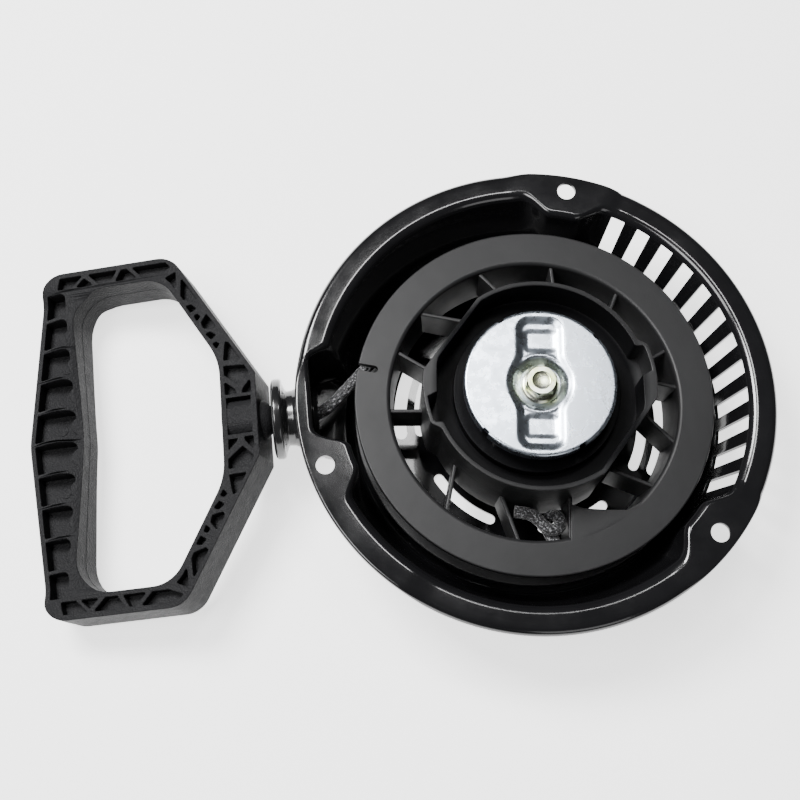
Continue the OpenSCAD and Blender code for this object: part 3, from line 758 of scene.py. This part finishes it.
ARM_POCKETS = [
    [(-72, 60.8), (-66.2, 60.8), (-61.6, 65.4), (-71, 65.4)],
    [(-64.6, 60.8), (-57.4, 60.8), (-61, 64.2)],
    [(-59.6, 65.4), (-55, 60.8), (-50.4, 60.8), (-47.6, 65.4)],
    [(-48.4, 60.8), (-39.6, 60.8), (-43.6, 65.2), (-46, 65.2)],
    [(-41.6, 65.4), (-37.4, 60.8), (-31.4, 60.8), (-26, 63), (-28, 65.4)],
    [(-28.4, 58.8), (-24, 60.8), (-24.2, 53.4), (-26, 56.4)],
    [(-22, 58), (-16, 48.4), (-17, 47.4), (-21.4, 48.8), (-22.4, 50.6)],
    [(-20.6, 46), (-18.4, 46.3), (-16.4, 44.4), (-18.8, 43)],
    [(-17.6, 41.6), (-16.1, 42.2), (-14.9, 40.9), (-16.5, 39.2)],
    [(-12.6, 41.6), (-9.4, 36.6), (-9.9, 35.2), (-14, 36), (-14.9, 38.4)],
    [(-13.4, 33.6), (-11.4, 34.2), (-9.2, 32.6), (-11.2, 31)],
    [(-10.8, 29.2), (-9.3, 29.9), (-8, 28.9), (-9.4, 27)],
    [(-6, 29.4), (-4.7, 29), (-0.4, 21.8), (-7, 22)],
    [(-7, 19.8), (0.8, 19.2), (2.6, 16), (-1.4, 11.8), (-7, 16.2)],
    [(-7, 13.6), (-3, 10), (-2.6, 8.4), (-7, 8.4)],
    [(2.9, 13.6), (2.9, 8.4), (-0.6, 8.4), (-0.2, 10)],
]


def crown(x, y):
    """Share of the arms' height that the grip bar's rounded section keeps."""
    across = min(1, max(0, (x - grip_wall(y) + 2) / 20))
    section = 1 - 0.40 * (1 - ramp(across, -0.15, 0.55)) - 0.34 * ramp(across, 0.55, 1.05)
    along = 1 - ramp(abs(y), 54, 64)
    inside = 1 - ramp(x, -63, -56)
    return mix(1, section, along * inside)


def mirrored(make):
    """A detail on the handle's near face and its mirror image on the far face."""
    near, far = make(), make()
    place(far, Matrix.Diagonal((1, 1, -1, 1)))
    far.data.flip_normals()
    return [near, far]


def handle_halves():
    """Both halves of the moulded frame, with their pockets."""
    outer = [(-85, 0), (-78, 67.5), (-25.8, 67.5), (4.8, 16), (4.8, -16), (-25.8, -67.5), (-78, -67.5)]
    outer = fine(rounded(outer, [30, 9, 10, 2, 2, 10, 9], 7))
    opening = [(-63.4, 0), (-66.8, 59), (-29.8, 59), (-8.8, 22.8), (-8.8, -22.8), (-29.8, -59), (-66.8, -59)]
    opening = fine(rounded(opening, [40, 13, 13, 24, 24, 13, 13], 7))
    side = [rounded(loop, 0.4, 3) for loop in ARM_POCKETS]
    pockets = grip_loops() + side + [[(x, -y) for x, y in loop] for loop in side]
    pockets = [fine(loop, 1.6) for loop in pockets]
    halves = []
    for sign in (1, -1):
        half = plate("half", outer, [opening] + pockets + [fine(STEM_SPACE)], -1.0, GRIP_HALF, 0.3, 3)
        # the two halves of the mould meet with a faint step
        step = 1 if sign > 0 else MOULD_STEP
        for v in half.data.vertices:
            x, y, z = v.co / MM
            share = crown(x, y) if z > 1 else 1
            v.co = (v.co.x * step, v.co.y * step, v.co.z * share * sign)
        if sign < 0:
            half.data.flip_normals()
        halves.append(half)
    return halves


def handle_webs():
    """The thin floors between the pockets of the two faces."""
    grip_web = [(-84, 0), (-77.8, 60), (-67.6, 60), (-64.4, 0), (-67.6, -60), (-77.8, -60)]
    arm_web = [(-76.5, 60), (-76.5, 66.6), (-26.3, 66.6), (4, 15.7), (4, -15.7), (-26.3, -66.6),
               (-76.5, -66.6), (-76.5, -60), (-30.3, -60), (-8, -23), (-8, 23), (-30.3, 60)]
    arm_web = rounded(arm_web, [0, 8, 10, 1.5, 1.5, 10, 8, 0, 13.9, 24.9, 24.9, 13.9], 7)
    stem_web = [(-7.5, -7.9), (3.5, -7.9), (3.5, 7.9), (-7.5, 7.9)]
    return [plate("web", grip_web, [], -POCKET_FLOOR, POCKET_FLOOR, 0.2, 1),
            plate("web", arm_web, [STEM_SPACE], -ARM_POCKET_FLOOR, ARM_POCKET_FLOOR, 0.2, 1),
            plate("web", stem_web, [], -POCKET_FLOOR, POCKET_FLOOR, 0.1, 1)]


def ejector_mark(y):
    """Round mark that a mould's ejector pin leaves on the floor of the grip's pocket."""
    top = POCKET_FLOOR + 0.25
    pin = lathe("pin", rounded([(0, 1), (2.1, 1), (2.1, top), (0, top)], [0, 0, 0.15, 0], 3), 32)
    return place(pin, Matrix.Translation((-74.2 + abs(y) * 0.07, y, 0)))


def rib_fillet(y):
    """Fillet along the foot of the grip's inner wall, between two ribs."""
    outline = arc(grip_inner(y) + 0.4, y, 3.4, 100, 260, 12)
    return plate("fillet", outline, [], POCKET_FLOOR - 0.5, 5.5, 0.3, 2)


def handle_stem():
    """The barrel round the stem, nearly flush with the faces, and the stem with its rope hole."""
    barrel = rounded([(-9.7, -7.2), (9.7, -7.2), (9.7, 7.2), (-9.7, 7.2)], 5.5, 6)
    barrel = plate("barrel", barrel, [disc_loop(6, 32)], -9.0, 4.9, 0.4, 2)
    nose = [(9 * math.cos(math.radians(a)), 9 * math.sin(math.radians(a))) for a in (34, 42, 50, 58, 66)]
    profile = [(4.95, -9.4), (6.4, -9.4), (6.9, -8.9), (6.9, 5.1), (8.2, 5.0)] + nose
    profile += [(3.1, 8.3), (2.6, 7.8), (2.6, -3.5), (4.95, -3.5)]
    along_rope = Matrix.Rotation(math.pi / 2, 4, "Y")
    return [place(barrel, along_rope), place(lathe("stem", profile, 96), along_rope)]


def handle():
    parts = handle_halves() + handle_webs()
    for y in EJECTOR_MARKS:
        parts += mirrored(lambda: ejector_mark(y))
    for y0, y1 in zip(GRIP_RIBS, GRIP_RIBS[1:]):
        parts += mirrored(lambda: rib_fillet((y0 + y1) / 2))
    return place(join("handle", parts + handle_stem()), HANDLE)


piece(handle(), "handle_grip_moulding", NYLON, "handle", ["handle_grip"], 40)


# ---- pulley ----------------------------------------------------------------------------------
PULLEY_R = 66.5
FACE_Z = -8.5
PULLEY_LOW = -29
BEARING_R = 7.55
DRUM_R = 54.5
# directions of each rib's ends, at the drum and at the hub
RIB_ENDS = ((136, 122), (106, 95), (76, 70), (47, 40), (16, 12), (0, 8), (337, 351), (317, 310), (277, 283),
            (257, 244), (227, 214), (180, 182), (155, 160))
HUB_R = 39.3
HUB_WALL = 1.8
HUB_TOP = 8.5
CUP_FLOOR = -6
DECK_Z = -1
DECK_R = 30.5
EAR_R = 42
# two flats of the hub, and the lands beside its pockets
FLAT_FACING = 139
LAND_FACING = 174.7
FLAT_R = 36.8


def folded(angle):
    """Direction brought into 105..285 degrees, because the hub is alike after half a turn."""
    half = angle % 180
    return half if half > 105 else half + 180


def flat_radius(angle, facing, distance):
    """How far out a ray meets a flat that faces one way."""
    lean = math.cos(math.radians(angle - facing))
    return distance / lean if lean > 0.4 else math.inf


def hub_radius(angle):
    """Radius of the hub's outline: a barrel with two ears and two flats."""
    turn = folded(angle)
    ear = ramp(turn, 143, 148) * (1 - ramp(turn, 195, 201))
    return min(mix(HUB_R, EAR_R, ear), flat_radius(turn, FLAT_FACING, FLAT_R))


def cup_radius(angle):
    """Radius of the space inside the cup: a thick land and a pocket in each ear."""
    turn = folded(angle)
    land = min(HUB_R - HUB_WALL, flat_radius(turn, FLAT_FACING, FLAT_R - HUB_WALL),
               flat_radius(turn, LAND_FACING, FLAT_R))
    pocket = ramp(turn, 180.6, 181.4) * (1 - ramp(turn, 195.5, 197.5))
    return mix(land, EAR_R - 1.5, pocket)


def ring_loop(radius):
    """Outline about the crank axis from a function of direction, with a point at each degree."""
    return [tuple(polar(radius(angle), angle)) for angle in range(360)]


def rib(a_out, a_in):
    """Thin wall from the drum to the hub, with a rounded top edge and a thicker foot."""
    outer, inner = polar(DRUM_R - 0.6, a_out), polar(HUB_R - 1.4, a_in)
    run = outer - inner
    section = rounded([(-1.05, -26.5), (1.05, -26.5), (0.72, FACE_Z - 1.7), (-0.72, FACE_Z - 1.7)],
                      [0, 0, 0.45, 0.45], 3)
    obj = prism("rib", section, 0, run.length)
    # the prism's x, y and z become y, z and x
    place(obj, Matrix(((0, 0, 1, 0), (1, 0, 0, 0), (0, 1, 0, 0), (0, 0, 0, 1))))
    place(obj, Matrix.Rotation(math.atan2(run.y, run.x), 4, "Z"))
    return place(obj, Matrix.Translation((inner.x, inner.y, 0)))


def pulley_drum():
    """The drum between its two flanges, with the notch where the rope drops in."""
    ring = [(DRUM_R - 2.6, PULLEY_LOW), (PULLEY_R - 0.4, PULLEY_LOW), (PULLEY_R, -28.6), (PULLEY_R, -26.9),
            (PULLEY_R - 0.5, -26.5), (DRUM_R + 0.8, -26.1), (DRUM_R, -25.3), (DRUM_R, -12.3),
            (DRUM_R + 0.8, -11.7), (PULLEY_R - 0.6, -11.3), (PULLEY_R, -10.8)]
    ring += arc(PULLEY_R - 0.6, FACE_Z - 0.6, 0.6, 0, 90, 4)
    ring += arc(DRUM_R + 0.4, FACE_Z - 1.6, 1.6, 90, 172, 6)
    ring += [(DRUM_R - 2.0, -18), (DRUM_R - 2.6, -28)]
    notch = prism("cut", [(59.4, -1.35), (80, -1.35), (80, 1.35)] + arc(60.2, 0, 1.35, 90, 270, 8), -12.5, -4)
    place(notch, Matrix.Rotation(math.radians(164.5), 4, "Z"))
    return boolean(lathe("ring", ring, 192), notch)


def pulley_hub():
    """The drive cup: its wall, the wall's foot, the floor, the raised deck and the bearing's barrel."""
    bearing = [disc_loop(BEARING_R, 64)]
    return [
        plate("wall", ring_loop(hub_radius), [ring_loop(cup_radius)], CUP_FLOOR - 0.4, HUB_TOP, 0.35, 3),
        plate("skirt", ring_loop(lambda a: hub_radius(a) - 0.02), [ring_loop(lambda a: 34.8)],
              PULLEY_LOW, CUP_FLOOR - 0.2, 0.3, 2),
        plate("floor", ring_loop(lambda a: cup_radius(a) + 0.4), bearing, -9, CUP_FLOOR, 0.2, 1),
        plate("deck", disc_loop(DECK_R, 128), bearing, CUP_FLOOR - 0.5, DECK_Z, 0.35, 2),
        lathe("barrel", [(BEARING_R, -12.4), (12, -12.4), (12, -8.5), (BEARING_R, -8.5)], 64),
    ]


def knot_web():
    """The web beside the rope's knot, level with the front flange."""
    outline = [(8, -41), (12.6, -42.9), (19.5, -44), (28, -44.8), (33.5, -42.4)]
    outline += arc(0, 0, DRUM_R + 1, 308.2, 276.3, 16)
    return plate("web", outline, [], FACE_Z - 2, FACE_Z - 0.02, 0.4, 2)


def pawl_pin(x):
    pin = [(0, DECK_Z - 1), (2.5, DECK_Z - 1), (2.5, 5.5), (0, 5.5)]
    pin = lathe("pin", rounded(pin, [0, 0, 0.5, 0], 3), 48)
    return place(pin, Matrix.Translation((x, 0, 0)))


def pulley():
    parts = [pulley_drum()] + pulley_hub()
    parts += [rib(a_out, a_in) for a_out, a_in in RIB_ENDS]
    return join("pulley", parts + [knot_web(), pawl_pin(17), pawl_pin(-17)])


piece(pulley(), "pulley_moulding", SATIN, "pulley", ["pulley"], 40)


# ---- retainer plate --------------------------------------------------------------------------
PLATE_R = 27.5
PLATE_Z = 9.5
PLATE_EDGE = 1.2
PLATE_SHEET = 1.3
CHANNEL_LEAN = math.radians(6)


def box_distance(x, y, half_x, half_y, r):
    """Signed distance to a rectangle with round corners."""
    dx, dy = abs(x) - half_x + r, abs(y) - half_y + r
    return math.hypot(max(dx, 0), max(dy, 0)) + min(max(dx, dy), 0) - r


def press(d, wide):
    """1 well inside a pressed outline, 0 outside it."""
    return 1 - ramp(d, -wide, wide)


def plate_height(x, y):
    """Height of the pressed plate's upper face: a channel with a round seat and a pad in both lobes."""
    c, s = math.cos(CHANNEL_LEAN), math.sin(CHANNEL_LEAN)
    u, v = x * c - y * s, x * s + y * c
    r = math.hypot(x, y)
    lobes = box_distance(u, v, 7.9, 24.2, 4.4)
    seat = r - 11.4
    # the lobes run into the seat in a smooth curve
    share = min(1, max(0, 0.5 + (seat - lobes) / 5))
    d = mix(seat, lobes, share) - 2.5 * share * (1 - share)
    z = PLATE_Z - 1.15 * press(d + 0.5, 1.7)
    z += 0.35 * press(abs(r - 10.7) - 0.1, 1.1) * press(d + 2, 1.2)
    z -= 2.4 * press(r - 8.6, 1.6)
    for sign in (1, -1):
        z -= 0.5 * press(box_distance(u, v - sign * 16, 5.3, 3.7, 1.6), 1.2)
    return min(z, PLATE_Z)


def retainer():
    flat_r = PLATE_R - PLATE_EDGE
    radii = [5.6 + 0.28 * i for i in range(74)]
    radii = [r for r in radii if r < flat_r] + [flat_r]
    steps = 360
    skirt = arc(flat_r, PLATE_Z - PLATE_EDGE, PLATE_EDGE, 72, 0, 4)
    skirt += [(PLATE_R, PLATE_Z - 2.6), (PLATE_R, PLATE_Z - 4)]
    verts, faces = [], []
    rows = len(radii) + len(skirt)
    for i in range(steps):
        a = 360 * i / steps
        for r in radii:
            x, y = polar(r, a)
            verts.append((x, y, plate_height(x, y)))
        verts += [(*polar(r, a), z) for r, z in skirt]
    for i in range(steps):
        j = (i + 1) % steps
        faces += [(i * rows + k, j * rows + k, j * rows + k + 1, i * rows + k + 1) for k in range(rows - 1)]
    obj = from_data("plate", verts, faces)
    face_up(obj)
    thick = obj.modifiers.new("sheet", "SOLIDIFY")
    thick.thickness = PLATE_SHEET * MM
    thick.offset = -1
    apply(obj)
    cutters = []
    # small notches in the rim
    for a in (115, 35, 217, 296):
        notch = rounded([(26.3, -1.4), (30, -1.4), (30, 1.4), (26.3, 1.4)], [0.7, 0, 0, 0.7], 3)
        cutters.append(place(prism("cut", notch, 4, 12), Matrix.Rotation(math.radians(a), 4, "Z")))
    return boolean(obj, join("cutters", cutters))


piece(retainer(), "retainer_plate_pressing", ZINC, "retainer", ["retainer_plate"], 35)


# ---- bolt ------------------------------------------------------------------------------------
BOLT_FLATS = 10


def bolt():
    collar = [(0, 6.5), (0, 5.9), (6.9, 5.9), (7.2, 6.1), (7.1, 6.4), (6.2, 7.0), (5.2, 7.3), (0, 7.3)]
    parts = [lathe("collar", rounded(collar, [0, 0, 0.1, 0.15, 0.2, 0.3, 0, 0], 3), 96)]
    head = prism("head", [tuple(polar(BOLT_FLATS / math.sqrt(3), 60 * i + 12)) for i in range(6)], 6.6, 11.9)
    cone = lathe("cone", [(0, 6.2), (6.6, 6.2), (6.6, 10.6), (5.0, 11.9), (0, 11.9)], 96)
    boolean(head, cone, "INTERSECT")
    dish = lathe("dish", [(0, 12.6), (3.7, 12.6), (3.3, 11.5), (2.9, 11.3), (0, 11.2)], 64)
    boolean(head, dish)
    parts.append(head)
    shank = [(0, -18.5), (2.6, -18.5), (2.95, -18.1)]
    z = -17.8
    while z < 3.4:
        shank += [(2.95, z), (2.95, z + 0.1), (2.5, z + 0.45)]
        z += 0.8
    shank += [(2.95, 4), (2.95, 6), (0, 6)]
    parts.append(lathe("shank", shank, 48))
    return join("bolt", parts)


piece(bolt(), "centre_bolt_flanged", YELLOW, "housing", ["centre_bolt"], 30)


# ---- rope ------------------------------------------------------------------------------------
def smooth_path(points, step):
    """Evenly spaced points on a curve through the given ones."""
    points = [Vector(p) for p in points]
    ends = [2 * points[0] - points[1]] + points + [2 * points[-1] - points[-2]]
    dense = []
    for i in range(1, len(ends) - 2):
        a, b, c, d = ends[i - 1:i + 3]
        for k in range(24):
            t = k / 24
            bend = (2 * a - 5 * b + 4 * c - d) * t * t + (3 * b - a - 3 * c + d) * t ** 3
            dense.append(0.5 * (2 * b + (c - a) * t + bend))
    dense.append(points[-1])
    out, left = [dense[0]], step
    for a, b in zip(dense, dense[1:]):
        length = (b - a).length
        while left <= length:
            a = a.lerp(b, left / length)
            length -= left
            out.append(a)
            left = step
        left -= length
    if (out[-1] - dense[-1]).length > step * 0.3:
        out.append(dense[-1])
    return out


def rope(name, path, radius, sides=32, pitch=5.2):
    """Braided tube along a path: strands stand proud in a diamond pattern, and UVs follow the rope."""
    verts, faces, uvs = [], [], []
    tangent = (path[1] - path[0]).normalized()
    side = tangent.orthogonal().normalized()
    run = 0.0
    lengths = []
    for i, p in enumerate(path):
        ahead = path[min(i + 1, len(path) - 1)] - path[max(i - 1, 0)]
        tangent = ahead.normalized()
        side = (side - tangent * side.dot(tangent)).normalized()
        up = tangent.cross(side)
        if i:
            run += (p - path[i - 1]).length
        lengths.append(run)
        for k in range(sides):
            share = k / sides
            one = math.sin(math.pi * ((share * 4 + run / pitch) % 1))
            two = math.sin(math.pi * ((share * 4 - run / pitch) % 1))
            r = radius * (0.93 + 0.07 * max(one, two) ** 0.7)
            a = 2 * math.pi * share
            verts.append(p + side * (r * math.cos(a)) + up * (r * math.sin(a)))
    count = len(path)
    for i in range(count - 1):
        for k in range(sides):
            m = (k + 1) % sides
            faces.append((i * sides + k, i * sides + m, (i + 1) * sides + m, (i + 1) * sides + k))
            u0, u1 = k / sides, (k + 1) / sides
            v0, v1 = lengths[i] / pitch, lengths[i + 1] / pitch
            uvs += [(u0, v0), (u1, v0), (u1, v1), (u0, v1)]
    for end, order in ((0, 1), (count - 1, -1)):
        faces.append(tuple(end * sides + k for k in range(sides))[::-order])
        uvs += [(0.5, lengths[end] / pitch)] * sides
    mesh = bpy.data.meshes.new(name)
    mesh.from_pydata([tuple(v * MM) for v in verts], [], faces)
    layer = mesh.uv_layers.new(name="UVMap")
    for slot, uv in zip(layer.data, uvs):
        slot.uv = uv
    return link(bpy.data.objects.new(name, mesh))


def drum_turns():
    """The middle turn meets the lead; the turns above and below it lie beside it."""
    parts = []
    # which row, where the turn starts, and how far it goes round
    turns = ((0, LEAD_ANGLE, -332.6), (1, LEAD_ANGLE - 340, -356), (-1, LEAD_ANGLE + 10, -356))
    for level, start, sweep in turns:
        height = PULL_Z + level * COIL_PITCH
        points = [Vector((*polar(COIL_R, start + sweep * i / 180), height)) for i in range(181)]
        parts.append(rope("turn", points, ROPE_R, 20))
    return join("drum_turns", parts)


# The lead, from the drum through the guide to its mouth, as in the CAD part.
LEAD_ROUTE = [tuple(polar(COIL_R, LEAD_ANGLE)), (-46, 34.4), (-54, 26.8), (-62, 19.1), (-69, 12.4),
              (-74, 7.8), (-77.5, 5.2), (-81, 3.6), (-85, PULL_Y), (-90, PULL_Y), (-95.5, PULL_Y)]
LEAD_POINTS = [(x, y, PULL_Z) for x, y in LEAD_ROUTE]
# The rope's end in the stem, along the handle's own x.
HANDLE_ROPE_POINTS = [(x, 0, 0) for x in (-1, 1.5, 4, 6.5, 9)]
# The rope's inner end: from its cut end beside the hub, once round itself and into the drum's hole.
KNOT_POINTS = [(-12, -41, -13.5), (-8.7, -41.7, -13.5), (-5.6, -43, -13.5), (-3.2, -45.4, -13.4),
               (-1.4, -47.8, -13.3), (0.6, -48.8, -13.3), (2.9, -48.6, -13.6), (4.1, -46.6, -14.3),
               (4, -44, -15.6), (2.2, -43, -17.2), (-0.4, -44.8, -18.6), (0, -48, -18.6), (1, -51, -17),
               (1.7, -54, -15.5)]


piece(drum_turns(), "drum_rope_turns", BRAID, "pulley", ["drum_rope"], 60, False)
lead = rope("rope_lead_braid", smooth_path(LEAD_POINTS, 0.5), ROPE_R)
piece(lead, "rope_lead_braid", BRAID, None, ["rope_lead"], 60, False)
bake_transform(lead)

stub = place(rope("handle_rope_braid", smooth_path(HANDLE_ROPE_POINTS, 0.5), ROPE_R), HANDLE)
piece(stub, "handle_rope_braid", BRAID, None, ["handle_rope"], 60, False)
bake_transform(stub)

knot = rope("knot", smooth_path(KNOT_POINTS, 0.5), ROPE_R)
piece(knot, "drum_knot_braid", BRAID, "pulley", ["drum_knot"], 60, False)


# ---- stage, lights and camera ----------------------------------------------------------------
def stage():
    size = 2.4
    z = cad_low.z
    mesh = bpy.data.meshes.new("floor")
    corners = [(-size, -size, z), (size, -size, z), (size, size, z), (-size, size, z)]
    mesh.from_pydata(corners, [], [(0, 1, 2, 3)])
    floor = link(bpy.data.objects.new("floor", mesh))
    p = Paint("floor_paper", Roughness=0.9)
    p.drive("Base Color", p.blend(p.noise(3, 2), (0.86, 0.86, 0.86), (0.90, 0.90, 0.90)))
    p.shader.inputs["Emission Color"].default_value = (1, 1, 1, 1)
    p.shader.inputs["Emission Strength"].default_value = 1.8
    mesh.materials.append(p.material)


def area_light(name, position, target, size, power):
    light = bpy.data.lights.new(name, "AREA")
    light.energy = power
    light.shape = "SQUARE"
    light.size = size
    obj = link(bpy.data.objects.new(name, light))
    obj.location = position
    obj.rotation_euler = (Vector(target) - Vector(position)).to_track_quat("-Z", "Y").to_euler()
    return obj


def camera():
    """The camera, placed by how the object is turned and shifted in front of it."""
    turn = (Matrix.Rotation(math.radians(-17.72), 3, "X") @ Matrix.Rotation(math.radians(1.20), 3, "Y")
            @ Matrix.Rotation(math.radians(5.3), 3, "Z"))
    shift = Vector((49.9, 3.5, -450))
    place_m = turn.transposed().to_4x4()
    place_m.translation = -(turn.transposed() @ shift) * MM
    data = bpy.data.cameras.new("camera")
    data.sensor_width = 36
    data.lens = 55.8495
    data.clip_start = 0.01
    obj = link(bpy.data.objects.new("camera", data))
    obj.matrix_world = place_m
    bpy.context.scene.camera = obj


def light_up():
    world = bpy.data.worlds.new("studio")
    bpy.context.scene.world = world
    world.use_nodes = True
    world.node_tree.nodes["Background"].inputs["Color"].default_value = (1, 1, 1, 1)
    world.node_tree.nodes["Background"].inputs["Strength"].default_value = 0.03
    area_light("key", (-0.48, 0.42, 0.95), (0, 0, 0), 0.4, 24)
    area_light("fill", (-0.60, -0.15, 1.0), (-0.08, 0, 0), 0.45, 8)
    area_light("top", (0.08, 0.36, 1.1), (0, 0, 0), 0.2, 3)
    area_light("front", (0.25, -0.95, 0.55), (0, 0, 0), 0.5, 1.5)


stage()
camera()
light_up()

# ---- carried-over CAD nodes ------------------------------------------------------------------
CARRIED = {
    "centre_post": STEEL,
    "rear_thrust_washer": ZINC,
    "front_thrust_washer": ZINC,
    "recoil_spring": SPRING,
    "pawl_a": HARD,
    "pawl_b": HARD,
    "pawl_spring_a": SPRING,
    "pawl_spring_b": SPRING,
    "friction_spring": SPRING,
    "handle_knot": BRAID,
    "knot_washer": ZINC,
}
for node_name, material in CARRIED.items():
    node_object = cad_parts[node_name]
    for material_slot in node_object.material_slots:
        material_slot.material = material
